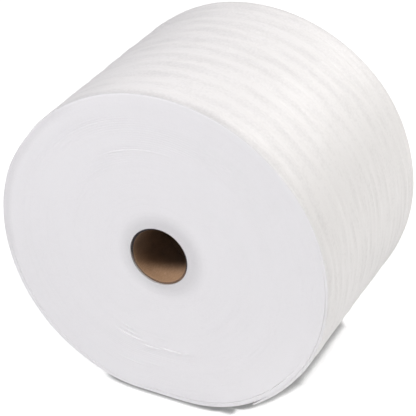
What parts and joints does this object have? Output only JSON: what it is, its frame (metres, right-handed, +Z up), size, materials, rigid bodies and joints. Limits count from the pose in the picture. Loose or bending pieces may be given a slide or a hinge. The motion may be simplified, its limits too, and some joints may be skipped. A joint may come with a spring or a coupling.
{
  "type": "foam wrap roll",
  "caption": "Roll of thin white foam wrap wound on a hollow cardboard core, lying on its side on a small flat with the web's loose end low on one side.",
  "frame": {"origin": "on the axis of the core's bore, midway along the roll", "axes": "+Y along the core's axis, away from the front end face; +Z up, away from the flat that the roll rests on; +X to the right seen from the front, the side that the loose end of the web is on"},
  "size_m": [0.4674, 0.3048, 0.4489],
  "materials": {
    "foam": "soft white closed-cell polyethylene foam, fine bubbles under a thin skin, satin",
    "core_board": "brown kraft board, spiral wound, matt"
  },
  "bodies": {
    "root": {"foam_roll": "foam", "core_tube": "core_board"}
  },
  "joints": []
}
